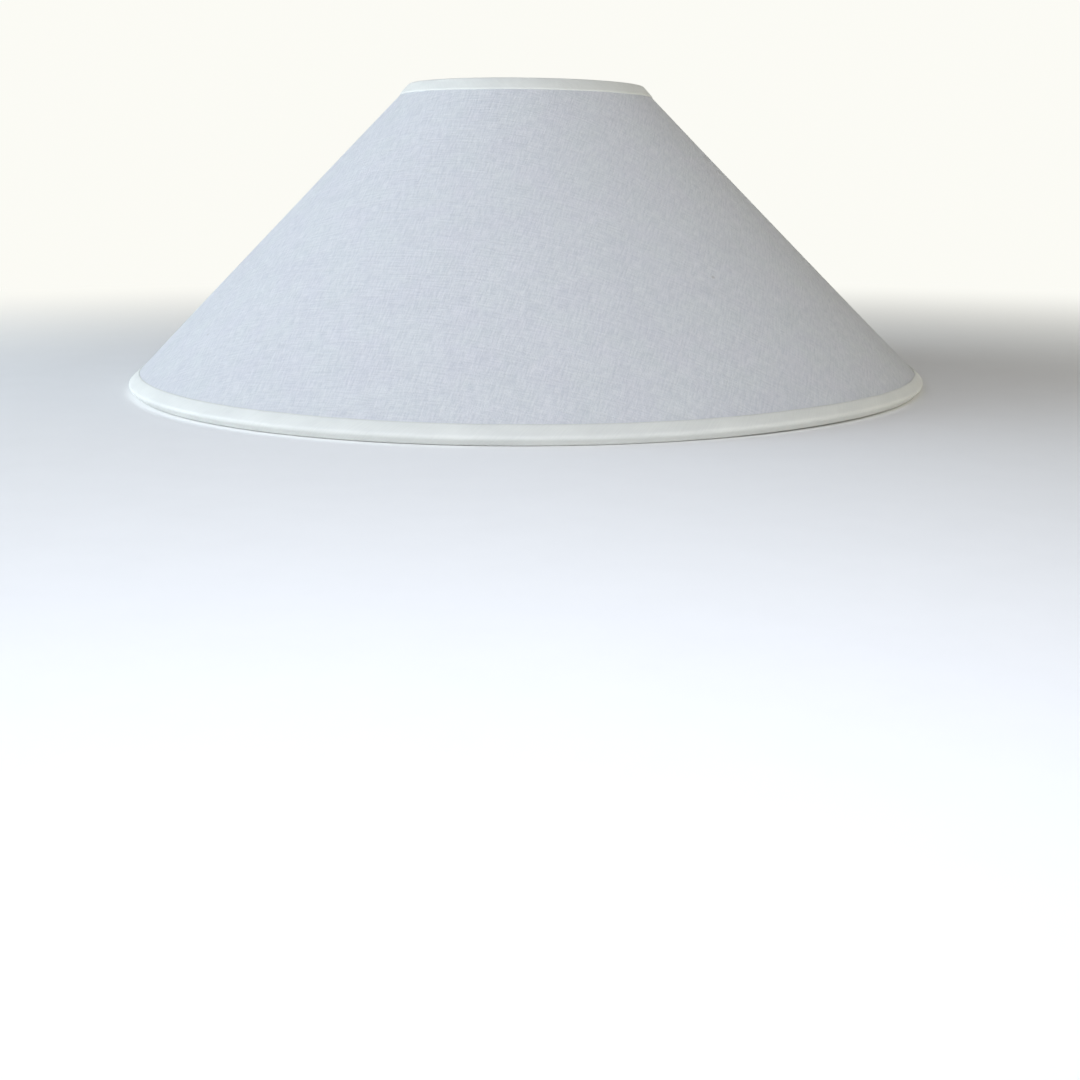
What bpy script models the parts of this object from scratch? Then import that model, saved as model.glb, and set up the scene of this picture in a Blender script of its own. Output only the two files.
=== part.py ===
"""A conical fabric lamp shade with bound edges, standing on its bottom rim. Metres, +Z up.

A stiff plastic liner, with the fabric cover laminated to it, is wrapped into a cone between two wire rings.
A bias tape is folded over each edge. Three wires drop from the top ring to the fitter ring, which rests on the
lampholder. The origin is at the middle of the bottom rim.
"""

import math

import bpy
from mathutils import Matrix, Vector

# Driving dimensions
RIM_RADIUS = 0.150  # the bottom trim at its widest
HEIGHT = 0.1088
TOP_RADIUS = 0.0437  # where the cone's outer line meets the plane of the top edge
TRIM_THICKNESS = 0.0004
FABRIC_THICKNESS = 0.0004
LINER_THICKNESS = 0.0004
WIRE_RADIUS = 0.00125
GAP = 0.0003  # left between pieces that touch
BOTTOM_TRIM_OUTSIDE = 0.0060  # how far each trim's straight part runs from its fold
BOTTOM_TRIM_INSIDE = 0.0050
TOP_TRIM_OUTSIDE = 0.0045
TOP_TRIM_INSIDE = 0.0045
LAND_HALF_ANGLE = math.radians(12)  # the flat that each fold is pressed to, seen from its centre
LAP_WIDTH = 0.010  # the cover's overlap down the back
LAP_SINK = 0.00035  # how deep the lap's flat strip reaches into the curved fabric under it
SLIT_WIDTH = 0.0006  # between the liner's two edges
FITTER_HOLE_RADIUS = 0.021
FITTER_RADIUS = 0.0263
FITTER_SHEET = 0.0012
FITTER_SEAT_HEIGHT = 0.040  # underside of the fitter ring, above the bottom rim
FITTER_FLANGE = 0.0045  # height of its turned-up edge
ARM_COUNT = 3
ARM_POINTS = 14
ARM_UPPER_HANDLE = 0.028  # how far each arm keeps its upright direction before it bends in
ARM_LOWER_HANDLE = 0.034
FIRST_ARM_ANGLE = math.radians(-90)
CONE_STEPS = 72
FITTER_STEPS = 48
WIRE_SIDES = 8

# The cone's side, worked out so that it touches the bottom fold and meets the top plane at TOP_RADIUS
FOLD_WIDTH = 2 * TRIM_THICKNESS + 4 * GAP + FABRIC_THICKNESS + LINER_THICKNESS + 2 * WIRE_RADIUS
FOLD_RADIUS = FOLD_WIDTH / 2
LAND_DEPTH = FOLD_RADIUS * math.cos(LAND_HALF_ANGLE)
BOTTOM_FOLD = Vector((RIM_RADIUS - FOLD_RADIUS, LAND_DEPTH))
ACROSS = BOTTOM_FOLD.x - TOP_RADIUS
UPWARD = HEIGHT - BOTTOM_FOLD.y
SLOPE = math.acos(FOLD_RADIUS / math.hypot(ACROSS, UPWARD)) - math.atan2(ACROSS, UPWARD)
UP_SLOPE = Vector((-math.cos(SLOPE), math.sin(SLOPE)))
OUTWARD = Vector((math.sin(SLOPE), math.cos(SLOPE)))
SIDE_LENGTH = (HEIGHT - LAND_DEPTH - BOTTOM_FOLD.y) / math.sin(SLOPE)  # from fold centre to fold centre

FABRIC_DEPTH = TRIM_THICKNESS + GAP  # from the trim's outer face to the fabric's
LINER_DEPTH = FABRIC_DEPTH + FABRIC_THICKNESS + GAP
WIRE_DEPTH = LINER_DEPTH + LINER_THICKNESS + GAP + WIRE_RADIUS


def on_side(along, depth):
    """A point of the side's section: along the slope from the bottom fold, and in from the trim's face."""
    return BOTTOM_FOLD + UP_SLOPE * along + OUTWARD * (FOLD_RADIUS - depth)


def collection(name, shown=True):
    made = bpy.data.collections.new(name)
    made.hide_render = not shown
    bpy.context.scene.collection.children.link(made)
    return made


def material(name, colour, roughness, metallic=0.0):
    made = bpy.data.materials.new(name)
    made.use_nodes = True
    shader = made.node_tree.nodes["Principled BSDF"]
    shader.inputs["Base Color"].default_value = (*colour, 1.0)
    shader.inputs["Roughness"].default_value = roughness
    shader.inputs["Metallic"].default_value = metallic
    made.diffuse_color = (*colour, 1.0)
    return made


def adopt(obj, name, home, finish=None):
    """Names an object and moves it to its collection."""
    obj.name = name
    obj.data.name = name
    for old in list(obj.users_collection):
        old.objects.unlink(obj)
    home.objects.link(obj)
    if finish:
        obj.data.materials.append(finish)
    return obj


def turned(name, section, steps, home, finish=None):
    """A closed section, listed down its outer side first, turned about Z."""
    mesh = bpy.data.meshes.new(name)
    corners = [(point.x, 0.0, point.y) for point in section]
    edges = [(i, (i + 1) % len(corners)) for i in range(len(corners))]
    mesh.from_pydata(corners, edges, [])
    obj = bpy.data.objects.new(name, mesh)
    home.objects.link(obj)
    screw = obj.modifiers.new("turn", "SCREW")
    screw.steps = screw.render_steps = steps
    screw.use_merge_vertices = True
    screw.merge_threshold = 0.00005
    if finish:
        mesh.materials.append(finish)
    return obj


def cut(obj, cutter, operation="DIFFERENCE"):
    boolean = obj.modifiers.new("cut", "BOOLEAN")
    boolean.operation = operation
    boolean.object = cutter


def box(name, size, place, home):
    """A box cutter of the given size, with its mesh in place."""
    bpy.ops.mesh.primitive_cube_add(size=1)
    obj = adopt(bpy.context.object, name, home)
    obj.data.transform(place @ Matrix.Diagonal((*size, 1.0)))
    obj.display_type = "WIRE"
    obj.hide_render = True
    return obj


def side_slab(name, width, along, depth, home):
    """A box laid on the slope at the back, between two distances along it and two depths into it."""
    low, high = along
    outer, inner = depth
    middle = on_side((low + high) / 2, (outer + inner) / 2)
    across = Vector((-1.0, 0.0, 0.0))
    up = Vector((0.0, UP_SLOPE.x, UP_SLOPE.y))
    out = Vector((0.0, OUTWARD.x, OUTWARD.y))
    place = Matrix((across, up, out)).transposed().to_4x4()
    place.translation = Vector((0.0, middle.x, middle.y))
    return box(name, (width, high - low, inner - outer), place, home)


def arc(centre, radius, start, end, steps):
    """Points along an arc, both ends included."""
    angles = [start + (end - start) * i / steps for i in range(steps + 1)]
    return [centre + Vector((math.cos(a), math.sin(a))) * radius for a in angles]


def fold_arc(centre, radius, land):
    """The half circle of a fold, from the outer face to the inner one, with a flat where it faces land."""
    normal = math.pi / 2 - SLOPE
    turn = math.copysign(1, land)
    long_arc, short_arc = 5, 2
    steps = (long_arc, short_arc) if turn < 0 else (short_arc, long_arc)
    before = arc(centre, radius, normal, land - turn * LAND_HALF_ANGLE, steps[0])
    after = arc(centre, radius, land + turn * LAND_HALF_ANGLE, normal + turn * math.pi, steps[1])
    return before + after


def trim_section(along, outside, inside, land):
    """A tape folded over an edge whose fold centre is that far along the slope."""
    centre = on_side(along, FOLD_RADIUS)
    reach = 1 if land < 0 else -1
    outer = fold_arc(centre, FOLD_RADIUS, land)
    inner = fold_arc(centre, FOLD_RADIUS - TRIM_THICKNESS, land)
    ends = [
        on_side(along + reach * outside, 0.0),
        on_side(along + reach * inside, FOLD_WIDTH),
        on_side(along + reach * inside, FOLD_WIDTH - TRIM_THICKNESS),
        on_side(along + reach * outside, TRIM_THICKNESS),
    ]
    loop = [ends[0], *outer, ends[1], ends[2], *reversed(inner), ends[3]]
    return loop if land < 0 else list(reversed(loop))


def sheet_section(depth, thickness):
    """A sheet that runs down the side from fold centre to fold centre."""
    return [
        on_side(SIDE_LENGTH, depth),
        on_side(0.0, depth),
        on_side(0.0, depth + thickness),
        on_side(SIDE_LENGTH, depth + thickness),
    ]


def add_cover(home, cutters, finish):
    """The fabric, with one edge lapped over the other at the back, between the trims."""
    cover = turned("cover_fabric", sheet_section(FABRIC_DEPTH, FABRIC_THICKNESS), CONE_STEPS, home, finish)
    along = (BOTTOM_TRIM_OUTSIDE + GAP, SIDE_LENGTH - TOP_TRIM_OUTSIDE - GAP)
    depth = (FABRIC_DEPTH - FABRIC_THICKNESS, FABRIC_DEPTH + LAP_SINK)
    cut(cover, side_slab("cover_lap", LAP_WIDTH, along, depth, cutters), "UNION")


def add_liner(home, cutters, finish):
    """The plastic sheet under the fabric, with its two edges facing each other behind the lap."""
    liner = turned("liner", sheet_section(LINER_DEPTH, LINER_THICKNESS), CONE_STEPS, home, finish)
    along = (-WIRE_RADIUS, SIDE_LENGTH + WIRE_RADIUS)
    depth = (FABRIC_DEPTH, WIRE_DEPTH)
    cut(liner, side_slab("liner_slit", SLIT_WIDTH, along, depth, cutters))


def add_ring(name, along, home, finish):
    """A wire ring inside the side's edge."""
    middle = on_side(along, WIRE_DEPTH)
    bpy.ops.mesh.primitive_torus_add(
        major_radius=middle.x,
        minor_radius=WIRE_RADIUS,
        major_segments=CONE_STEPS,
        minor_segments=WIRE_SIDES,
        location=(0.0, 0.0, middle.y),
    )
    adopt(bpy.context.object, name, home, finish)


def bezier_point(handles, share):
    """The point that far along a Bezier curve, by de Casteljau's construction."""
    while len(handles) > 1:
        handles = [a.lerp(b, share) for a, b in zip(handles, handles[1:])]
    return handles[0]


def arm_route():
    """An arm's centre line in its own radial plane, from the top ring down to the fitter ring's flange."""
    ring = on_side(SIDE_LENGTH, WIRE_DEPTH)
    beside_ring = ring.x - 2 * WIRE_RADIUS - GAP
    beside_fitter = FITTER_RADIUS + GAP + WIRE_RADIUS
    top = ring.y + WIRE_RADIUS
    foot = FITTER_SEAT_HEIGHT + WIRE_RADIUS / 2
    bends = [
        Vector((beside_ring, top)),
        Vector((beside_ring, top - ARM_UPPER_HANDLE)),
        Vector((beside_fitter, foot + ARM_LOWER_HANDLE)),
        Vector((beside_fitter, foot)),
    ]
    return [bezier_point(bends, i / (ARM_POINTS - 1)) for i in range(ARM_POINTS)]


def arm_angle(index):
    return FIRST_ARM_ANGLE + index * 2 * math.pi / ARM_COUNT


def add_arm(index, home, finish):
    """A fitter wire as a bevelled curve."""
    name = f"fitter_arm_{index + 1}"
    curve = bpy.data.curves.new(name, "CURVE")
    curve.dimensions = "3D"
    curve.bevel_depth = WIRE_RADIUS
    curve.bevel_resolution = 2
    curve.use_fill_caps = True
    spline = curve.splines.new("POLY")
    route = arm_route()
    spline.points.add(len(route) - 1)
    for point, place in zip(spline.points, route):
        point.co = (place.x, 0.0, place.y, 1.0)
    curve.materials.append(finish)
    arm = bpy.data.objects.new(name, curve)
    arm.rotation_euler.z = arm_angle(index)
    home.objects.link(arm)


def notch_for_arm(trim, index, cutters):
    """Opens the top trim's inner edge where an arm comes through it, up to the ring's height."""
    width = 2 * (WIRE_RADIUS + GAP)
    ring = on_side(SIDE_LENGTH, WIRE_DEPTH)
    outer = ring.x - WIRE_RADIUS
    inner = outer - 3 * width
    low = ring.y - 3 * width
    high = ring.y + WIRE_RADIUS + GAP
    place = Matrix.Rotation(arm_angle(index), 4, "Z") @ Matrix.Translation(
        ((outer + inner) / 2, 0.0, (low + high) / 2)
    )
    size = (outer - inner, width, high - low)
    cut(trim, box(f"arm_notch_{index + 1}", size, place, cutters))


def add_fitter_ring(home, finish):
    """A flat ring with its outer edge turned up."""
    low = FITTER_SEAT_HEIGHT
    section = [
        Vector((FITTER_RADIUS, low + FITTER_FLANGE)),
        Vector((FITTER_RADIUS, low + FITTER_SHEET / 2)),
        Vector((FITTER_RADIUS - FITTER_SHEET / 2, low)),
        Vector((FITTER_HOLE_RADIUS, low)),
        Vector((FITTER_HOLE_RADIUS, low + FITTER_SHEET)),
        Vector((FITTER_RADIUS - FITTER_SHEET, low + FITTER_SHEET)),
        Vector((FITTER_RADIUS - FITTER_SHEET, low + FITTER_FLANGE)),
    ]
    turned("fitter_ring", section, FITTER_STEPS, home, finish)


def smooth_round_faces(home):
    for obj in home.objects:
        if obj.type == "MESH" and obj.data.polygons:
            obj.data.shade_smooth()
            obj.data.set_sharp_from_angle(angle=math.radians(35))
        for modifier in obj.modifiers:
            if modifier.type == "SCREW":
                modifier.use_smooth_shade = True


def main():
    for obj in list(bpy.data.objects):
        bpy.data.objects.remove(obj)
    shade = collection("lamp_shade")
    cutters = collection("cutters", shown=False)
    cotton = material("white_cotton", (0.74, 0.77, 0.81), 0.9)
    tape = material("off_white_tape", (0.80, 0.82, 0.80), 0.8)
    plastic = material("white_styrene", (0.82, 0.82, 0.80), 0.45)
    coated = material("white_powder_coat", (0.80, 0.80, 0.78), 0.4)

    add_cover(shade, cutters, cotton)
    add_liner(shade, cutters, plastic)
    add_ring("bottom_ring", 0.0, shade, coated)
    add_ring("top_ring", SIDE_LENGTH, shade, coated)
    for index in range(ARM_COUNT):
        add_arm(index, shade, coated)
    add_fitter_ring(shade, coated)

    down, up = -math.pi / 2, math.pi / 2
    bottom = trim_section(0.0, BOTTOM_TRIM_OUTSIDE, BOTTOM_TRIM_INSIDE, down)
    turned("bottom_trim", bottom, CONE_STEPS, shade, tape)
    top = trim_section(SIDE_LENGTH, TOP_TRIM_OUTSIDE, TOP_TRIM_INSIDE, up)
    top_trim = turned("top_trim", top, CONE_STEPS, shade, tape)
    for index in range(ARM_COUNT):
        notch_for_arm(top_trim, index, cutters)
    smooth_round_faces(shade)


main()
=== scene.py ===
"""The looks of a conical fabric lamp shade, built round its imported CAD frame. Metres, +Z up.

The cloth cover and the plastic liner are thin sheets wrapped round the cone, with their seam at the back.
A bias tape is folded over each edge and round a wire ring. Places on the side are given as a distance along
the slope from the bottom ring, and a distance outwards from the line between the two rings.
"""

import math

import bpy
from mathutils import Matrix, Vector, noise


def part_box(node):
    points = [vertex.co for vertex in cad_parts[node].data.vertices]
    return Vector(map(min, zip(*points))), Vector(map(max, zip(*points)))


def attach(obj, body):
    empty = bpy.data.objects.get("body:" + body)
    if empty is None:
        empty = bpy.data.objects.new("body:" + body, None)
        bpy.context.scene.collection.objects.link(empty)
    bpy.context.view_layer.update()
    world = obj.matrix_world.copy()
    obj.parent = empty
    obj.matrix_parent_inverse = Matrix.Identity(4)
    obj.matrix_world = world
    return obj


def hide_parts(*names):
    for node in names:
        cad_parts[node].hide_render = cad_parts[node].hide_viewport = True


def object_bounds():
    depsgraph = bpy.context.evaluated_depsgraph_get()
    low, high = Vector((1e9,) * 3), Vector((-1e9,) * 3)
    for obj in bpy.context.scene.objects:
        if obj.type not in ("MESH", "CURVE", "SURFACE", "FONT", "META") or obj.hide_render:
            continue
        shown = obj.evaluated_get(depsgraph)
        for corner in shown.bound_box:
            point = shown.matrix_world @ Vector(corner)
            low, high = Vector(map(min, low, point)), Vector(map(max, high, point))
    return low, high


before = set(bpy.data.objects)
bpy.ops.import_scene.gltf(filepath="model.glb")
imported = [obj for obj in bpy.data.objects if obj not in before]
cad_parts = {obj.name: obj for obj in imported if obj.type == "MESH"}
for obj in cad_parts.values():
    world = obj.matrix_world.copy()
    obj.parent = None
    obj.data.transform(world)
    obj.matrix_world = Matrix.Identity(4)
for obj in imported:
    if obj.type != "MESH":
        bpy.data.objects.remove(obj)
cad_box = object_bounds()

# Thicknesses and the room between layers
FABRIC = 0.00028
LINER = 0.0004
TAPE = 0.0003
GAP = 0.0003
HAIR = 0.00003  # between two faces that lie on each other

# The tape's folds
BOTTOM_TAPE_OUTSIDE = 0.0031  # from the ring up the outer face to the tape's edge
TOP_TAPE_OUTSIDE = 0.0043
TAPE_WIDTH = 0.018
TAPE_INSIDE_LANDS = 0.0038  # from the ring up the inner face to where the tape meets the liner
BOTTOM_TAPE_PAST_RING = 0.0022
TOP_TAPE_PAST_RING = 0.00165
TAPE_CORNER = 0.0012  # where it turns round the cut edges of the cover and liner
CUT_EDGE_INSIDE = 0.0008  # the fold's outermost face past the cut edges of the cover and liner
TAPE_CROWN = 0.0002  # how far its middle stands above its edge
TAPE_EDGE_SHARE = 0.6  # of its thickness, where its outer edge is pressed thin
TAPE_EDGE_TAPER = 0.0005
TAPE_FOLD_POINTS = 36  # over the outside and round the ring
TAPE_FLAP_POINTS = 12  # and on up the inside
TAPE_FOLD_PAST_EDGE = 0.0034
ROOM_ROUND_WIRE = 1.4 * TAPE  # between the wire and the fold's middle line
FOLD_LEAVES_WIRE = 1.62 * math.pi
LANDING_HALF = 0.0005  # of the bend where the tape meets the liner
LANDING_DIP = 0.0002
STANDING = 0.00002  # the tape's lowest face above the floor, where the shade's weight presses it flat

# The seams at the back
LAP_HALF = 0.005
LAP_RAMP = 0.006
LAP_HAIR = 0.00002
HEM = 0.007
SEAM_ZONE = 0.014
LINER_SLIT = 0.0006
TAPE_JOIN_START = 0.010  # the tape's join is beside the cover's seam
TAPE_JOIN_END = 0.021
TAPE_JOIN_RAMP = 0.003
TAPE_OVER_LAP_RAMP = 0.003
TAPE_OVER_LAP_SINKS = 0.00005  # into the lap
TAPE_LIFT_FADES = 0.002  # across the tape, from the fold inwards

# How uneven the hand-made shade is
RIM_LIFT = 0.0004
RIM_LIFT_AZIMUTH = math.radians(42)
RIM_LIFT_WIDTH = math.radians(17)
TOP_TILT = 0.012  # how much lower the top edge's right side is, for each metre across
SIDE_WAVE = 0.00012
SIDE_WAVES_ROUND = 1.6
SIDE_WAVE_LENGTH = 0.06
TAPE_LONG_WAVE = 0.019
TAPE_SHORT_WAVE = 0.007
TAPE_EDGE_WANDER = 0.00016
TAPE_WIDTH_WANDER = 0.0002
TAPE_RIPPLE = 0.00003
TAPE_RIPPLE_LENGTH = 0.004
BOTTOM_TAPE_TREND = 0.0005  # its outer edge's slow rise or fall either side of the front
TREND_HALF = 1.9
TREND_RAMP = 0.8

# The fitter
FITTER_HOLE = 0.021
FITTER_SHEET = 0.0012
ARM_COUNT = 3
ARM_UPPER_HANDLE = 0.028
ARM_LOWER_HANDLE = 0.034
FIRST_ARM_AZIMUTH = 0.0  # at the front
WIRE_END_ROUNDING = 0.6
NOTCH_HALF = 0.0017  # the snips in the top tape, where it passes the arms
NOTCH_RAMP = 0.0003
NOTCH_STOPS = 0.0036  # short of the ring's fold
UPPER_WELD = (0.0010, 0.0017, 0.0012)
LOWER_WELD = (0.0008, 0.0016, 0.0018)
UPPER_WELD_DROP = 0.0002
LOWER_WELD_LIFT = 0.0004
WELD_ROUGHNESS = 0.16

# The weaves: from thread to thread, and the cover's turn against the front of its flat pattern
CLOTH_PITCH = 0.00042
CLOTH_TURN = math.radians(15)
TAPE_PITCH = 0.00034

# The studio's paper: how bright it glows, and how far from a spot in front of the shade it starts to
WALL_GLOW = 0.97
FLOOR_MIDDLE = (0.0, -0.2, 0.0)
FLOOR_LIT = 0.28
FLOOR_GLOWS = 0.75

# The camera, fitted to the shade's outline in the photograph
CAMERA_LENS = 45.65
CAMERA_PLACE = (0.0039, -0.5372, 0.0738)
CAMERA_DOWN = math.radians(14.64)
CAMERA_TURN = math.radians(-0.13)

ROUND_STEPS = 288
SHARP_ANGLE = math.radians(50)
FLAT_CUT = "flat_cut"  # the UV map: where each point lay on the flat cloth, in metres


def smooth(share):
    """0 to 1 with level ends, for a share from 0 to 1."""
    share = min(max(share, 0.0), 1.0)
    return share * share * (3 - 2 * share)


def window(value, half, ramp):
    """1 within half of zero, and 0 past half + ramp."""
    return 1 - smooth((abs(value) - half) / ramp)


# The frame's rings give the side: its slope, its length and the wire's radius


def ring_section(name):
    low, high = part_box(name)
    wire = (high.z - low.z) / 2
    return Vector((high.x - wire, (low.z + high.z) / 2)), wire


BOTTOM, WIRE = ring_section("bottom_ring")
TOP, _ = ring_section("top_ring")
SIDE = (TOP - BOTTOM).length
UP = (TOP - BOTTOM) / SIDE
OUT = Vector((UP.y, -UP.x))
APEX = BOTTOM.x / -UP.x  # from the bottom ring up the slope to the cone's point
PATTERN_TURN = -UP.x  # the flat pattern's angle for each radian round the cone

CUT_EDGES = (CUT_EDGE_INSIDE - BOTTOM_TAPE_PAST_RING, SIDE + TOP_TAPE_PAST_RING - CUT_EDGE_INSIDE)
LINER_MIDDLE = WIRE + GAP + LINER / 2
COVER_MIDDLE = LINER_MIDDLE + LINER / 2 + GAP + FABRIC / 2
COVER_FACE = COVER_MIDDLE + FABRIC / 2
FOLD_RADIUS = FABRIC / 2 + HAIR  # of the lap's turned-under edge, at the cloth's middle
LAP_RISE = FABRIC + 2 * FOLD_RADIUS + LAP_HAIR


def section_point(along, out):
    return BOTTOM + UP * along + OUT * out


def place(along, out, turn):
    """The point at this turn from the back, counter-clockwise seen from above."""
    point = section_point(along, out)
    azimuth = turn - math.pi
    share = min(max(1 - along / SIDE, 0.0), 1.0)
    lift = RIM_LIFT * share**3 * math.exp(-(((azimuth - RIM_LIFT_AZIMUTH) / RIM_LIFT_WIDTH) ** 2))
    across = -math.sin(turn) * point.x
    lift -= TOP_TILT * across * (1 - share)
    return Vector((across, math.cos(turn) * point.x, point.y + lift))


def side_wave(along, turn):
    """The sheet's slight unevenness between the rings, which hold it true."""
    held = math.sin(math.pi * min(max(along / SIDE, 0.0), 1.0))
    where = Vector((math.cos(turn), math.sin(turn), 0.0)) * SIDE_WAVES_ROUND
    where.z = along / SIDE_WAVE_LENGTH
    return SIDE_WAVE * held * noise.noise(where)


def flat_place(along, turn):
    """Where this point of the cone lies on its flat pattern, which has the front along +Y."""
    reach = APEX - along
    angle = (turn - math.pi) * PATTERN_TURN
    return (reach * math.sin(angle), reach * math.cos(angle))


# Mesh building


def skin(name, rows, flats, material, closed=False):
    """A mesh through rows of points, each row a closed loop. flats has their places on the flat sheet."""
    count = len(rows[0])
    points = [p for row in rows for p in row]
    uvs = [uv for row in flats for uv in row]
    faces = []
    for i in range(len(rows) if closed else len(rows) - 1):
        a = i * count
        b = (i + 1) % len(rows) * count
        for j in range(count):
            k = (j + 1) % count
            faces.append((a + j, a + k, b + k, b + j))
    if not closed:
        faces.append(tuple(reversed(range(count))))
        faces.append(tuple(range(len(points) - count, len(points))))
    mesh = bpy.data.meshes.new(name)
    mesh.from_pydata(points, [], faces)
    layer = mesh.uv_layers.new(name=FLAT_CUT)
    for loop in mesh.loops:
        layer.data[loop.index].uv = uvs[loop.vertex_index]
    mesh.materials.append(material)
    mesh.shade_smooth()
    mesh.set_sharp_from_angle(angle=SHARP_ANGLE)
    obj = bpy.data.objects.new(name, mesh)
    bpy.context.scene.collection.objects.link(obj)
    return obj


def wrapped_sheet(name, stations, reach, thickness, middle, material):
    """A thin sheet round the cone. Each station is (turn, shift, rise, lean): its turn, a shift in metres
    past it, how far it is raised, and how far the sheet has turned over. reach is its ends on the slope."""
    divisions = 26
    alongs = [reach[0] + (reach[1] - reach[0]) * i / divisions for i in range(divisions + 1)]
    rows = []
    flats = []
    for turn, shift, rise, lean in stations:
        row = []
        flat = []
        for side, order in ((1, alongs), (-1, reversed(alongs))):
            for along in order:
                radius = section_point(along, middle).x
                here = turn + shift / radius
                out = middle + rise + side_wave(along, here)
                half = side * thickness / 2
                turned = here + half * math.sin(lean) / radius
                row.append(place(along, out + half * math.cos(lean), turned))
                flat.append(flat_place(along, here))
        rows.append(row)
        flats.append(flat)
    return skin(name, rows, flats, material)


def body_stations(first_shift, last_shift):
    """Stations once round, from the first shift past the back to the last."""
    found = []
    for i in range(ROUND_STEPS + 1):
        share = i / ROUND_STEPS
        found.append((2 * math.pi * share, first_shift + (last_shift - first_shift) * share, 0.0, 0.0))
    return found


def cover_stations():
    """Round the cone and over its own start, to an edge turned under."""
    full = 2 * math.pi
    ramp_start = -LAP_HALF - LAP_RAMP
    found = [(0.0, -LAP_HALF + SEAM_ZONE * i / 8, 0.0, 0.0) for i in range(8)]
    found += body_stations(SEAM_ZONE - LAP_HALF, ramp_start)
    for i in range(1, 7):
        share = i / 6
        found.append((full, ramp_start + LAP_RAMP * share, LAP_RISE * smooth(share), 0.0))
    edge = LAP_HALF - FOLD_RADIUS - FABRIC / 2
    for i in range(1, 6):
        found.append((full, -LAP_HALF + (edge + LAP_HALF) * i / 5, LAP_RISE, 0.0))
    for i in range(1, 9):
        angle = math.pi * i / 8
        rise = LAP_RISE - FOLD_RADIUS * (1 - math.cos(angle))
        found.append((full, edge + FOLD_RADIUS * math.sin(angle), rise, angle))
    found.append((full, edge - HEM, LAP_RISE - 2 * FOLD_RADIUS, math.pi))
    return found


def liner_stations():
    return body_stations(LINER_SLIT / 2, -LINER_SLIT / 2)


def add_cover(material):
    cover = wrapped_sheet("shade_cover", cover_stations(), CUT_EDGES, FABRIC, COVER_MIDDLE, material)
    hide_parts("cover_fabric")
    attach(cover, "root")
    return cover


def add_liner(material):
    liner = wrapped_sheet("shade_liner", liner_stations(), CUT_EDGES, LINER, LINER_MIDDLE, material)
    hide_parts("liner")
    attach(liner, "root")
    return liner


# The folded tapes


def arc(centre, radius, start, end, steps):
    angles = [start + (end - start) * i / steps for i in range(steps + 1)]
    return [Vector(centre) + Vector((math.cos(a), math.sin(a))) * radius for a in angles]


def tape_path(past_ring, outside):
    """The middle line of a folded tape's section at a bottom edge. x is up the slope from the ring, and
    y is outwards. It runs from the outer edge round the fold, and on up the liner past the tape's width."""
    crown = COVER_FACE + TAPE / 2 + TAPE_CROWN
    corner = TAPE_CORNER - TAPE / 2
    end = -past_ring + TAPE / 2
    round_wire = min(past_ring - TAPE / 2, WIRE + ROOM_ROUND_WIRE)
    wire_centre = (end + round_wire, 0.0)
    under = LINER_MIDDLE - LINER / 2 - TAPE / 2
    edge = COVER_FACE + TAPE / 2
    path = [Vector((outside, edge))]
    for i in range(1, 5):
        share = i / 4
        path.append(Vector((outside * (1 - share), edge + TAPE_CROWN * math.sin(share * math.pi / 2))))
    path += arc((end + corner, crown - corner), corner, math.pi / 2, math.pi, 5)
    path += arc(wire_centre, round_wire, math.pi, FOLD_LEAVES_WIRE, 7)
    path.append(Vector((TAPE_INSIDE_LANDS - LANDING_HALF, under - LANDING_DIP)))
    path.append(Vector((TAPE_INSIDE_LANDS + LANDING_HALF, under)))
    path.append(Vector((TAPE_INSIDE_LANDS + TAPE_WIDTH, under)))
    return path


def resampled(path, wanted_lengths):
    """The points and outward normals at these lengths along a path."""
    lengths = [0.0]
    for a, b in zip(path, path[1:]):
        lengths.append(lengths[-1] + (b - a).length)
    count = len(wanted_lengths)
    found = []
    for wanted in wanted_lengths:
        k = 0
        while k < len(path) - 2 and lengths[k + 1] < wanted:
            k += 1
        share = (wanted - lengths[k]) / (lengths[k + 1] - lengths[k])
        found.append((path[k].lerp(path[k + 1], share), wanted))
    normals = []
    for i in range(count):
        before = found[max(i - 1, 0)][0]
        after = found[min(i + 1, count - 1)][0]
        along = (after - before).normalized()
        normals.append(Vector((along.y, -along.x)))
    return [(p, n, length) for (p, length), n in zip(found, normals)]


def tape_loop(path, start, end, lift_all, lift_outside, outside_length):
    """The closed outline of the tape's section, with the length across the tape at each point."""
    turned = outside_length + TAPE_FOLD_PAST_EDGE
    wanted = [start + (turned - start) * i / TAPE_FOLD_POINTS for i in range(TAPE_FOLD_POINTS)]
    wanted += [turned + (end - turned) * i / TAPE_FLAP_POINTS for i in range(TAPE_FLAP_POINTS + 1)]
    stations = resampled(path, wanted)
    half = TAPE / 2
    outer = []
    inner = []
    for point, normal, length in stations:
        fade = 1 - smooth((length - outside_length) / TAPE_LIFT_FADES)
        raised = point + normal * (lift_all + lift_outside * fade)
        full = TAPE_EDGE_SHARE + (1 - TAPE_EDGE_SHARE) * smooth((length - start) / TAPE_EDGE_TAPER)
        outer.append((raised + normal * (TAPE * full - half), length, 0.0))
        inner.append((raised - normal * half, length, TAPE))
    loop = list(outer)
    loop += tape_edge(stations[-1], stations[-2], outer[-1][0], inner[-1][0])
    loop += list(reversed(inner))
    loop += tape_edge(stations[0], stations[1], inner[0][0], outer[0][0])
    return loop


def tape_edge(last, before, from_point, to_point):
    """A rounded edge between the tape's two faces."""
    onward = (last[0] - before[0]).normalized()
    middle = (from_point + to_point) / 2
    reach = (from_point - to_point) / 2
    found = []
    for angle in (math.pi / 4, math.pi / 2, 3 * math.pi / 4):
        point = middle + reach * math.cos(angle) + onward * reach.length * math.sin(angle)
        found.append((point, last[2], 0.0))
    return found


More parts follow.
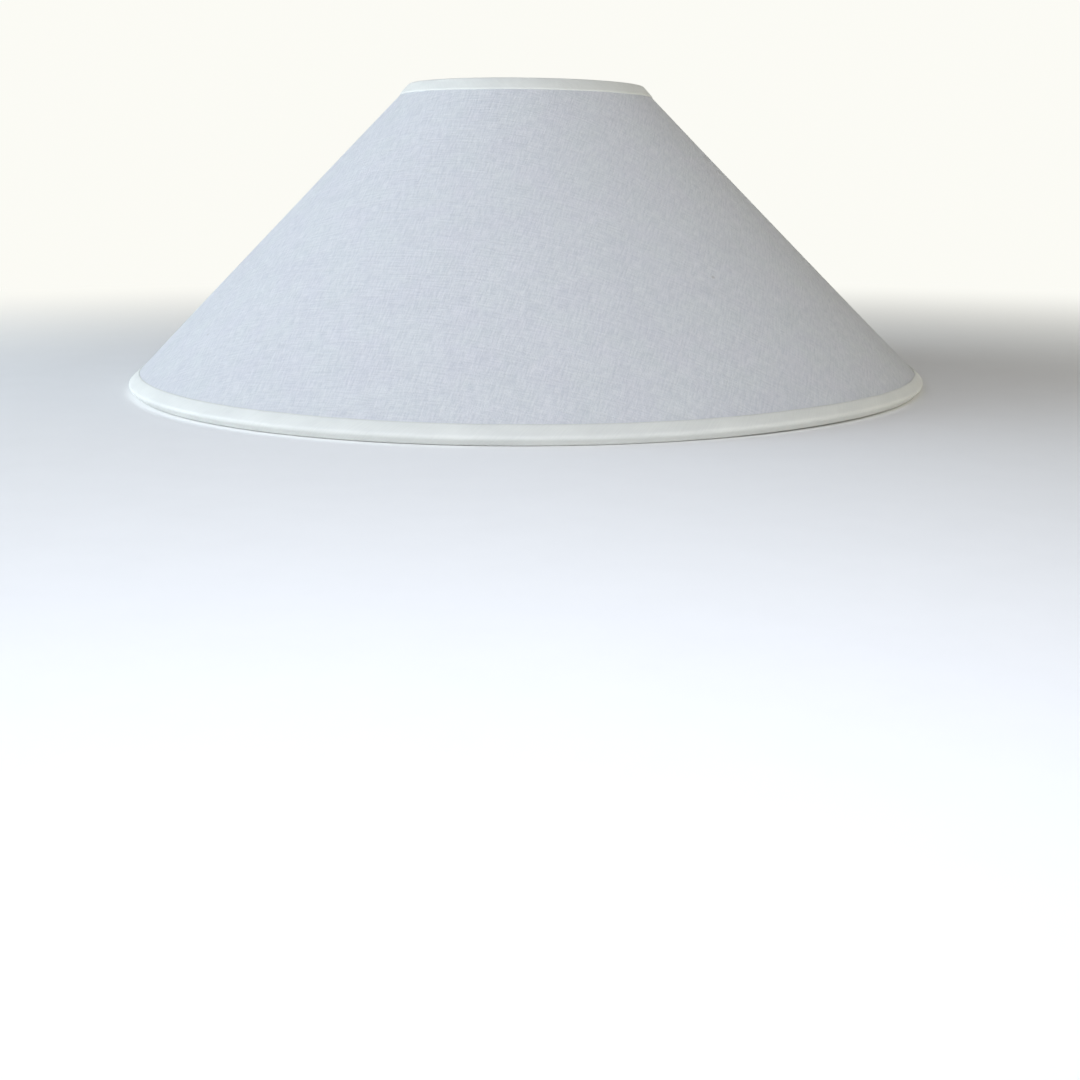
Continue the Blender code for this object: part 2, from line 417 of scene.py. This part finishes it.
def tape_stations(radius, notches):
    """(turn, arc length past the back seam) round one edge, closer together at the seams and notches."""
    seam_zone = 0.026
    seam_step = 0.0012
    notch_zone = 0.006
    notch_step = 0.0004
    places = []
    length = TAPE_JOIN_START
    around = 2 * math.pi * radius
    while length < around + TAPE_JOIN_END:
        places.append(length)
        near_seam = length < seam_zone + TAPE_JOIN_END or length > around - seam_zone
        turn = length / radius
        near_notch = any(abs(turn - n) * radius < notch_zone for n in notches)
        length += notch_step if near_notch else seam_step if near_seam else around / ROUND_STEPS
    places.append(around + TAPE_JOIN_END)
    return [(length / radius, length) for length in places]


def add_tape(name, node, at_top, material):
    """A tape folded over one edge, with a lapped join near the back."""
    past_ring = TOP_TAPE_PAST_RING if at_top else BOTTOM_TAPE_PAST_RING
    outside = TOP_TAPE_OUTSIDE if at_top else BOTTOM_TAPE_OUTSIDE
    path = tape_path(past_ring, outside)
    outside_length = outside + past_ring - TAPE
    ring = section_point(SIDE if at_top else 0.0, COVER_FACE).x
    around = 2 * math.pi * ring
    notches = [math.pi + arm_azimuth(i) for i in range(ARM_COUNT)] if at_top else []
    notch_end = outside_length + NOTCH_STOPS
    seed = 3.7 if at_top else 8.1
    rows = []
    flats = []
    for turn, length in tape_stations(ring, notches):
        azimuth = turn - math.pi
        wave = noise.noise(Vector((length / TAPE_LONG_WAVE, seed, 0.0)))
        wave += 0.5 * noise.noise(Vector((length / TAPE_SHORT_WAVE, 1.3, 5.0)))
        slow = math.sin(azimuth) * window(azimuth, TREND_HALF, TREND_RAMP)
        trend = 0.0 if at_top else BOTTOM_TAPE_TREND * slow
        start = TAPE_EDGE_WANDER * wave + trend
        joined = smooth((length - around - TAPE_JOIN_START + TAPE_JOIN_RAMP) / TAPE_JOIN_RAMP)
        over_lap = window(length - around, LAP_HALF, TAPE_OVER_LAP_RAMP)
        notch = max([window((turn - n) * ring, NOTCH_HALF, NOTCH_RAMP) for n in notches], default=0.0)
        end = TAPE_WIDTH + (notch_end - TAPE_WIDTH) * notch + TAPE_WIDTH_WANDER * wave
        ripple = TAPE_RIPPLE * noise.noise(Vector((length / TAPE_RIPPLE_LENGTH, 9.0, 2.0)))
        raised = (TAPE + HAIR) * joined + ripple
        lift_outside = (LAP_RISE - TAPE_OVER_LAP_SINKS) * over_lap
        loop = tape_loop(path, start, end, raised, lift_outside, outside_length)
        buried = TAPE * (1 - smooth((length - TAPE_JOIN_END) / TAPE_JOIN_RAMP))
        row = []
        for point, _, floor in loop:
            along = SIDE - point.x if at_top else point.x
            spot = place(along, point.y, turn)
            spot.z = max(spot.z, STANDING + floor + buried)
            row.append(spot)
        rows.append(row if at_top else list(reversed(row)))
        across = [(length, width) for _, width, _ in loop]
        flats.append(across if at_top else list(reversed(across)))
    tape = skin(name, rows, flats, material)
    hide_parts(node)
    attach(tape, "root")
    return tape


# The wires and the fitter ring


def tube_rows(route, radius, sides):
    """Circles round a route of points, drawn in to rounded ends."""
    rows = []
    count = len(route)
    for i, point in enumerate(route):
        onward = (route[min(i + 1, count - 1)] - route[max(i - 1, 0)]).normalized()
        across = onward.orthogonal() if i == 0 else across - onward * across.dot(onward)
        across.normalize()
        other = onward.cross(across)
        if i in (0, count - 1):
            outward = -onward if i == 0 else onward
            caps = [(0.0, 1.0), (0.5, 0.87), (0.87, 0.5)]
            caps = caps[::-1] if i == 0 else caps
        else:
            outward = Vector()
            caps = [(0.0, 1.0)]
        for reach, width in caps:
            centre = point + outward * radius * reach * WIRE_END_ROUNDING
            row = []
            for k in range(sides):
                angle = 2 * math.pi * k / sides
                row.append(centre + (across * math.cos(angle) + other * math.sin(angle)) * radius * width)
            rows.append(row)
    return rows


def no_flats(rows):
    return [[(0.0, 0.0) for _ in row] for row in rows]


def add_ring(name, node, along, material):
    """A wire ring, which follows the rim's unevenness."""
    steps = 192
    sides = 16
    middle = section_point(along, 0.0).x
    rows = []
    for i in range(steps):
        turn = 2 * math.pi * i / steps
        level = place(along, 0.0, turn).z
        row = []
        for k in range(sides):
            angle = 2 * math.pi * k / sides
            radius = middle + WIRE * math.cos(angle)
            height = level + WIRE * math.sin(angle)
            row.append(Vector((-math.sin(turn) * radius, math.cos(turn) * radius, height)))
        rows.append(row)
    ring = skin(name, rows, no_flats(rows), material, closed=True)
    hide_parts(node)
    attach(ring, "root")
    return ring


def arm_azimuth(index):
    return FIRST_ARM_AZIMUTH + index * 2 * math.pi / ARM_COUNT


def bezier_point(handles, share):
    while len(handles) > 1:
        handles = [a.lerp(b, share) for a, b in zip(handles, handles[1:])]
    return handles[0]


def weld_bead(centre, size, azimuth, seed):
    """A small uneven bead of weld metal, as rows of points."""
    bands = 10
    sides = 14
    rows = []
    turned = Matrix.Rotation(azimuth, 3, "Z")
    for i in range(1, bands):
        lean = math.pi * i / bands
        row = []
        for k in range(sides):
            angle = 2 * math.pi * k / sides
            round_out = math.sin(lean)
            way = Vector((round_out * math.cos(angle), round_out * math.sin(angle), math.cos(lean)))
            rough = 1 + WELD_ROUGHNESS * noise.noise(way * 1.7 + Vector((seed, 0.0, 0.0)))
            local = Vector((way.x * size[0], way.y * size[1], way.z * size[2])) * rough
            row.append(centre + turned @ local)
        rows.append(row)
    return rows


def join_skins(name, parts, material):
    """One object of several closed skins."""
    made = [skin(f"{name}_{i}", rows, no_flats(rows), material) for i, rows in enumerate(parts)]
    with bpy.context.temp_override(active_object=made[0], selected_editable_objects=made):
        bpy.ops.object.join()
    made[0].name = name
    made[0].data.name = name
    return made[0]


def add_arm(index, material):
    """A wire from the top ring down to the fitter ring's flange, with its two welds."""
    low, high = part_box("fitter_ring")
    ring_radius = high.x
    beside_ring = TOP.x - 2 * WIRE - GAP
    beside_fitter = ring_radius + GAP + WIRE
    foot = low.z + WIRE / 2
    top = TOP.y + WIRE
    bends = [
        Vector((beside_ring, top)),
        Vector((beside_ring, top - ARM_UPPER_HANDLE)),
        Vector((beside_fitter, foot + ARM_LOWER_HANDLE)),
        Vector((beside_fitter, foot)),
    ]
    azimuth = arm_azimuth(index)
    outward = Vector((math.sin(azimuth), -math.cos(azimuth), 0.0))
    steps = 40
    flat_route = [bezier_point(bends, i / steps) for i in range(steps + 1)]
    route = [outward * p.x + Vector((0.0, 0.0, p.y)) for p in flat_route]
    wire = tube_rows(route, WIRE, 16)
    turned = azimuth - math.pi / 2
    upper = outward * (TOP.x - WIRE - GAP / 2) + Vector((0.0, 0.0, TOP.y - UPPER_WELD_DROP))
    lower_height = (low.z + high.z) / 2 + LOWER_WELD_LIFT
    lower = outward * (ring_radius + GAP / 2) + Vector((0.0, 0.0, lower_height))
    upper_weld = weld_bead(upper, UPPER_WELD, turned, 3.1 + index)
    lower_weld = weld_bead(lower, LOWER_WELD, turned, 7.7 + index)
    arm = join_skins(f"fitter_wire_{index + 1}", [wire, upper_weld, lower_weld], material)
    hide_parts(f"fitter_arm_{index + 1}")
    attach(arm, "root")
    return arm


def rounded_section(corners, radius, steps=4):
    """A closed outline with its corners rounded."""
    found = []
    count = len(corners)
    for i, corner in enumerate(corners):
        before = (corners[i - 1] - corner).normalized()
        after = (corners[(i + 1) % count] - corner).normalized()
        half = before.angle(after) / 2
        back = radius[i] / math.tan(half)
        centre = corner + (before + after).normalized() * radius[i] / math.sin(half)
        start = corner + before * back - centre
        end = corner + after * back - centre
        for k in range(steps + 1):
            found.append(centre + start.lerp(end, k / steps).normalized() * radius[i])
    return found


def add_fitter(material):
    """The stamped ring that rests on the lampholder, with its edge turned up."""
    low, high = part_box("fitter_ring")
    wide = high.x
    corners = [
        Vector((wide, high.z)),
        Vector((wide, low.z)),
        Vector((FITTER_HOLE, low.z)),
        Vector((FITTER_HOLE, low.z + FITTER_SHEET)),
        Vector((wide - FITTER_SHEET, low.z + FITTER_SHEET)),
        Vector((wide - FITTER_SHEET, high.z)),
    ]
    soft = 0.00035
    outer_bend = 0.0011
    inner_bend = 0.0007
    section = rounded_section(corners, (soft, outer_bend, soft, soft, inner_bend, soft))
    steps = 120
    rows = []
    for i in range(steps):
        turn = 2 * math.pi * i / steps
        rows.append([Vector((-math.sin(turn) * p.x, math.cos(turn) * p.x, p.y)) for p in section])
    ring = skin("fitter_plate", rows, no_flats(rows), material, closed=True)
    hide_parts("fitter_ring")
    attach(ring, "root")
    return ring


# Materials


class Tree:
    """Short calls for building a material's nodes."""

    def __init__(self, name):
        self.material = bpy.data.materials.new(name)
        self.material.use_nodes = True
        self.nodes = self.material.node_tree.nodes
        self.links = self.material.node_tree.links
        self.nodes.clear()

    def add(self, kind, inputs=None, **settings):
        node = self.nodes.new(kind)
        for key, value in settings.items():
            setattr(node, key, value)
        for key, value in (inputs or {}).items():
            if isinstance(value, bpy.types.NodeSocket):
                self.links.new(value, node.inputs[key])
            else:
                node.inputs[key].default_value = value
        return node

    def maths(self, operation, *values):
        return self.add("ShaderNodeMath", dict(enumerate(values)), operation=operation).outputs[0]

    def flat_cut(self):
        return self.add("ShaderNodeUVMap", uv_map=FLAT_CUT).outputs["UV"]

    def solid_place(self):
        return self.add("ShaderNodeTexCoord").outputs["Object"]

    def stretched(self, vector, scale, turn=0.0):
        values = {"Vector": vector, "Scale": scale, "Rotation": (0.0, 0.0, turn)}
        return self.add("ShaderNodeMapping", values).outputs[0]

    def noise(self, vector, scale, detail=2.0, roughness=0.5):
        values = {"Vector": vector, "Scale": scale, "Detail": detail, "Roughness": roughness}
        return self.add("ShaderNodeTexNoise", values).outputs[0]

    def remapped(self, value, low, high, to_low, to_high):
        values = {0: value, 1: low, 2: high, 3: to_low, 4: to_high}
        return self.add("ShaderNodeMapRange", values).outputs[0]

    def mixed_colour(self, share, first, second, blend="MIX"):
        node = self.add("ShaderNodeMix", data_type="RGBA", blend_type=blend)
        for key, value in ((0, share), (6, first), (7, second)):
            if isinstance(value, bpy.types.NodeSocket):
                self.links.new(value, node.inputs[key])
            else:
                node.inputs[key].default_value = value
        return node.outputs[2]

    def bump(self, height, distance, strength=1.0, normal=None):
        values = {"Height": height, "Distance": distance, "Strength": strength}
        if normal is not None:
            values["Normal"] = normal
        return self.add("ShaderNodeBump", values).outputs[0]

    def finish(self, shader):
        self.add("ShaderNodeOutputMaterial", {"Surface": shader})
        return self.material


def plain_weave(tree, flat, pitch, turn=0.0):
    """The height of a plain weave's surface, from 0 to 1, and the places counted in threads."""
    threads = tree.stretched(flat, (1 / pitch, 1 / pitch, 1.0), turn)
    wander = tree.noise(threads, 0.11, 1.0)
    wander = tree.remapped(wander, 0.0, 1.0, -0.9, 0.9)
    split = tree.add("ShaderNodeSeparateXYZ", {0: threads})
    across = tree.maths("ADD", split.outputs[0], wander)
    up = tree.maths("ADD", split.outputs[1], wander)
    warp = tree.maths("COSINE", tree.maths("MULTIPLY", across, math.pi))
    weft = tree.maths("COSINE", tree.maths("MULTIPLY", up, math.pi))
    over = tree.maths("MULTIPLY", warp, weft)
    warp = tree.maths("ABSOLUTE", warp)
    weft = tree.maths("ABSOLUTE", weft)
    warp_top = tree.maths("MULTIPLY", tree.maths("SQRT", warp), tree.remapped(weft, 0.0, 1.0, 0.55, 1.0))
    weft_top = tree.maths("MULTIPLY", tree.maths("SQRT", weft), tree.remapped(warp, 0.0, 1.0, 0.55, 1.0))
    warp_on_top = tree.maths("GREATER_THAN", over, 0.0)
    weft_on_top = tree.maths("SUBTRACT", 1.0, warp_on_top)
    weft_height = tree.maths("MULTIPLY", weft_top, weft_on_top)
    height = tree.maths("MULTIPLY_ADD", warp_top, warp_on_top, weft_height)
    return height, threads


def cotton():
    """Fine white plain-weave cotton, laminated flat: uneven threads, a few neps and a faint cloudiness."""
    tree = Tree("cotton_plain_weave")
    flat = tree.flat_cut()
    height, threads = plain_weave(tree, flat, CLOTH_PITCH, -CLOTH_TURN)

    # Thick and thin threads both ways, and a cloudiness over them
    weft_slubs = tree.noise(tree.stretched(threads, (0.07, 0.62, 1.0)), 1.0, 2.5, 0.6)
    warp_slubs = tree.noise(tree.stretched(threads, (0.62, 0.08, 1.0)), 1.0, 2.5, 0.6)
    cloudy = tree.noise(flat, 46.0, 3.0, 0.55)
    grain = tree.noise(flat, 900.0, 2.0, 0.6)
    slubs = tree.maths("MULTIPLY_ADD", weft_slubs, 0.85, tree.maths("MULTIPLY", warp_slubs, 1.15))
    slubs = tree.remapped(slubs, 0.73, 1.27, 0.0, 1.0)
    uneven = tree.maths("MULTIPLY_ADD", cloudy, 0.3, tree.maths("MULTIPLY", slubs, 0.8))
    uneven = tree.maths("MULTIPLY_ADD", grain, 0.35, uneven)
    tone = tree.remapped(uneven, 0.35, 1.1, 0.0, 1.0)
    colour = tree.mixed_colour(tone, (0.725, 0.755, 0.785, 1.0), (0.855, 0.875, 0.892, 1.0))
    patches = tree.remapped(tree.noise(flat, 75.0, 2.0, 0.5), 0.35, 0.65, 0.0, 1.0)
    colour = tree.mixed_colour(patches, colour, (1.0, 0.985, 1.005, 1.0), "MULTIPLY")
    # Painted shade: the colour is darkened in the low gaps between the threads
    painted_gap_shade = tree.remapped(height, 0.0, 0.5, 0.16, 0.0)
    colour = tree.mixed_colour(painted_gap_shade, colour, (0.50, 0.53, 0.60, 1.0))

    # Neps: a dark fleck in a few of many small cells
    cells = tree.add("ShaderNodeTexVoronoi", {"Vector": flat, "Scale": 130.0, "Randomness": 1.0})
    near = tree.remapped(cells.outputs["Distance"], 0.05, 0.10, 1.0, 0.0)
    chosen = tree.add("ShaderNodeSeparateColor", {0: cells.outputs["Color"]}).outputs[0]
    chosen = tree.maths("GREATER_THAN", chosen, 0.988)
    neps = tree.maths("MULTIPLY", tree.maths("MULTIPLY", near, chosen), 0.45)
    colour = tree.mixed_colour(neps, colour, (0.46, 0.44, 0.42, 1.0))

    # The surface, which lets some light through
    rough = tree.remapped(uneven, 0.3, 1.1, 0.95, 0.80)
    surface = tree.maths("ADD", slubs, height)
    normal = tree.bump(surface, 0.00010, 1.0)
    normal = tree.bump(cloudy, 0.0009, 0.35, normal)
    shader = tree.add("ShaderNodeBsdfPrincipled", {
        "Base Color": colour,
        "Roughness": rough,
        "Normal": normal,
        "Specular IOR Level": 0.25,
        "Sheen Weight": 0.12,
        "Sheen Roughness": 0.45,
    })
    through = tree.add("ShaderNodeBsdfTranslucent", {"Color": colour, "Normal": normal})
    mixed = tree.add("ShaderNodeMixShader", {0: 0.22, 1: shader.outputs[0], 2: through.outputs[0]})
    return tree.finish(mixed.outputs[0])


def bias_tape():
    """Off-white woven tape cut on the bias, with a slight satin face and small puckers."""
    tree = Tree("bias_tape")
    flat = tree.flat_cut()
    height, threads = plain_weave(tree, flat, TAPE_PITCH, math.radians(45))
    streaks = tree.noise(tree.stretched(threads, (0.04, 0.9, 1.0)), 1.0, 2.0, 0.6)
    patches = tree.noise(tree.stretched(flat, (60.0, 160.0, 1.0)), 1.0, 2.0, 0.5)
    uneven = tree.maths("MULTIPLY_ADD", patches, 0.6, tree.maths("MULTIPLY", streaks, 0.4))
    tone = tree.remapped(uneven, 0.3, 0.7, 0.0, 1.0)
    colour = tree.mixed_colour(tone, (0.620, 0.634, 0.606, 1.0), (0.724, 0.737, 0.696, 1.0))
    # Painted shade: the colour is darkened in the low gaps between the tape's threads
    painted_gap_shade = tree.remapped(height, 0.0, 0.5, 0.12, 0.0)
    colour = tree.mixed_colour(painted_gap_shade, colour, (0.40, 0.41, 0.39, 1.0))
    rough = tree.remapped(uneven, 0.3, 0.7, 0.80, 0.70)
    puckers = tree.noise(tree.stretched(flat, (420.0, 90.0, 1.0), math.radians(20)), 1.0, 1.5, 0.5)
    normal = tree.bump(height, 0.00005, 0.7)
    normal = tree.bump(puckers, 0.00022, 0.6, normal)
    shader = tree.add("ShaderNodeBsdfPrincipled", {
        "Base Color": colour,
        "Roughness": rough,
        "Normal": normal,
        "Specular IOR Level": 1.0,
        "IOR": 1.9,
        "Sheen Weight": 0.1,
        "Sheen Roughness": 0.35,
    })
    return tree.finish(shader.outputs[0])


def styrene():
    """White styrene film: smooth, with a faint drag texture and hand marks in its gloss."""
    tree = Tree("styrene_film")
    flat = tree.flat_cut()
    cloudy = tree.noise(flat, 30.0, 3.0, 0.5)
    drag = tree.noise(tree.stretched(flat, (30.0, 900.0, 1.0)), 1.0, 3.0, 0.6)
    marks = tree.noise(flat, 95.0, 4.0, 0.65)
    tone = tree.remapped(cloudy, 0.3, 0.7, 0.0, 1.0)
    colour = tree.mixed_colour(tone, (0.800, 0.800, 0.785, 1.0), (0.865, 0.865, 0.850, 1.0))
    rough = tree.remapped(marks, 0.3, 0.7, 0.34, 0.52)
    normal = tree.bump(drag, 0.00004, 0.5)
    normal = tree.bump(cloudy, 0.0006, 0.4, normal)
    shader = tree.add("ShaderNodeBsdfPrincipled", {
        "Base Color": colour,
        "Roughness": rough,
        "Normal": normal,
    })
    through = tree.add("ShaderNodeBsdfTranslucent", {"Color": colour, "Normal": normal})
    mixed = tree.add("ShaderNodeMixShader", {0: 0.30, 1: shader.outputs[0], 2: through.outputs[0]})
    return tree.finish(mixed.outputs[0])


def coated_steel():
    """White powder coat with a fine orange peel, slightly chipped to grey here and there."""
    tree = Tree("powder_coated_steel")
    solid = tree.solid_place()
    peel = tree.noise(solid, 1100.0, 2.0, 0.5)
    soft = tree.noise(solid, 120.0, 3.0, 0.6)
    chips = tree.noise(solid, 520.0, 4.0, 0.7)
    chipped = tree.remapped(chips, 0.70, 0.73, 0.0, 0.85)
    tone = tree.remapped(soft, 0.3, 0.7, 0.0, 1.0)
    colour = tree.mixed_colour(tone, (0.74, 0.74, 0.72, 1.0), (0.83, 0.83, 0.81, 1.0))
    colour = tree.mixed_colour(chipped, colour, (0.30, 0.29, 0.28, 1.0))
    rough = tree.remapped(soft, 0.3, 0.7, 0.32, 0.46)
    height = tree.maths("MULTIPLY_ADD", chipped, -0.8, peel)
    normal = tree.bump(height, 0.00004, 0.6)
    shader = tree.add("ShaderNodeBsdfPrincipled", {
        "Base Color": colour,
        "Roughness": rough,
        "Normal": normal,
    })
    return tree.finish(shader.outputs[0])


def studio_paper():
    """A pale floor that passes into a softly glowing wall, as in a light tent."""
    tree = Tree("studio_paper")
    solid = tree.solid_place()
    fine = tree.noise(solid, 60.0, 3.0, 0.6)
    colour = tree.mixed_colour(fine, (0.91, 0.91, 0.91, 1.0), (0.94, 0.94, 0.94, 1.0))
    shader = tree.add("ShaderNodeBsdfPrincipled", {
        "Base Color": colour,
        "Roughness": 0.9,
        "Specular IOR Level": 0.1,
    })
    glow = tree.add("ShaderNodeEmission", {"Color": (1.0, 0.995, 0.94, 1.0), "Strength": WALL_GLOW})
    reach = tree.add("ShaderNodeVectorMath", {0: solid, 1: FLOOR_MIDDLE}, operation="DISTANCE")
    distances = {0: reach.outputs["Value"], 1: FLOOR_LIT, 2: FLOOR_GLOWS, 3: 0.0, 4: 1.0}
    share = tree.add("ShaderNodeMapRange", distances, interpolation_type="SMOOTHSTEP")
    both = {0: share.outputs[0], 1: shader.outputs[0], 2: glow.outputs[0]}
    mixed = tree.add("ShaderNodeMixShader", both)
    return tree.finish(mixed.outputs[0])


# The studio


def add_backdrop(material):
    """A seamless round floor that curves up into a wall."""
    flat_radius = 2.2
    bend = 0.9
    wall_top = 1.6
    profile = [(0.0, 0.0), (0.4, 0.0), (1.0, 0.0), (1.6, 0.0)]
    for i in range(13):
        angle = math.radians(90) * i / 12
        profile.append((flat_radius + bend * math.sin(angle), bend * (1 - math.cos(angle))))
    profile.append((flat_radius + bend, wall_top))
    steps = 96
    points = [Vector((0.0, 0.0, 0.0))]
    faces = []
    for radius, height in profile[1:]:
        for k in range(steps):
            angle = 2 * math.pi * k / steps
            points.append(Vector((math.cos(angle) * radius, math.sin(angle) * radius, height)))
    for k in range(steps):
        faces.append((0, 1 + k, 1 + (k + 1) % steps))
    for i in range(len(profile) - 2):
        for k in range(steps):
            a = 1 + i * steps
            b = a + steps
            after = (k + 1) % steps
            faces.append((a + k, b + k, b + after, a + after))
    mesh = bpy.data.meshes.new("backdrop")
    mesh.from_pydata(points, [], faces)
    mesh.materials.append(material)
    mesh.shade_smooth()
    backdrop = bpy.data.objects.new("backdrop", mesh)
    bpy.context.scene.collection.objects.link(backdrop)


def add_light(name, azimuth, elevation, distance, size, power, colour):
    """A soft square light aimed at the shade."""
    light = bpy.data.lights.new(name, "AREA")
    light.shape = "SQUARE"
    light.size = size
    light.energy = power
    light.color = colour
    lamp = bpy.data.objects.new(name, light)
    a = math.radians(azimuth)
    e = math.radians(elevation)
    way = Vector((math.sin(a) * math.cos(e), -math.cos(a) * math.cos(e), math.sin(e)))
    aim = Vector((0.0, 0.0, cad_box[1].z / 2))
    lamp.location = aim + way * distance
    lamp.rotation_mode = "QUATERNION"
    lamp.rotation_quaternion = way.to_track_quat("Z", "Y")
    lamp.visible_camera = False
    bpy.context.scene.collection.objects.link(lamp)


def add_world(strength):
    world = bpy.data.worlds.new("studio")
    world.use_nodes = True
    background = world.node_tree.nodes["Background"]
    background.inputs["Color"].default_value = (1.0, 1.0, 0.985, 1.0)
    background.inputs["Strength"].default_value = strength
    bpy.context.scene.world = world


def add_camera():
    """The photograph's view: from a little below the top edge's height, and turned down by 15 degrees."""
    camera = bpy.data.cameras.new("camera")
    camera.sensor_width = 36.0
    camera.lens = CAMERA_LENS
    camera.clip_start = 0.01
    camera.clip_end = 30.0
    viewer = bpy.data.objects.new("camera", camera)
    viewer.location = CAMERA_PLACE
    viewer.rotation_euler = (math.radians(90) - CAMERA_DOWN, 0.0, CAMERA_TURN)
    bpy.context.scene.collection.objects.link(viewer)
    bpy.context.scene.camera = viewer


def write_sizes():
    """Updates the view layer."""
    bpy.context.view_layer.update()


def main():
    cloth = cotton()
    tape = bias_tape()
    film = styrene()
    coat = coated_steel()

    cover = add_cover(cloth)
    add_liner(film)
    bottom_tape = add_tape("bottom_tape", "bottom_trim", False, tape)
    top_tape = add_tape("top_tape", "top_trim", True, tape)
    add_ring("bottom_wire", "bottom_ring", 0.0, coat)
    add_ring("top_wire", "top_ring", SIDE, coat)
    for index in range(ARM_COUNT):
        add_arm(index, coat)
    add_fitter(coat)

    add_backdrop(studio_paper())
    # Degrees round from the front and up, metres away and across, and watts
    add_light("window_top", -75, 35, 0.9, 0.7, 1.5, (1.0, 1.0, 1.0))
    add_light("window", -90, 12, 0.9, 0.7, 6.5, (0.72, 0.86, 1.0))
    add_light("front", 0, 25, 0.5, 0.35, 1.13, (0.84, 0.885, 1.0))
    add_light("room", 75, 12, 0.9, 0.6, 0.65, (1.0, 0.75, 0.2))
    add_world(0.01)
    add_camera()
    bpy.context.scene.view_settings.view_transform = "Standard"
    write_sizes()


main()
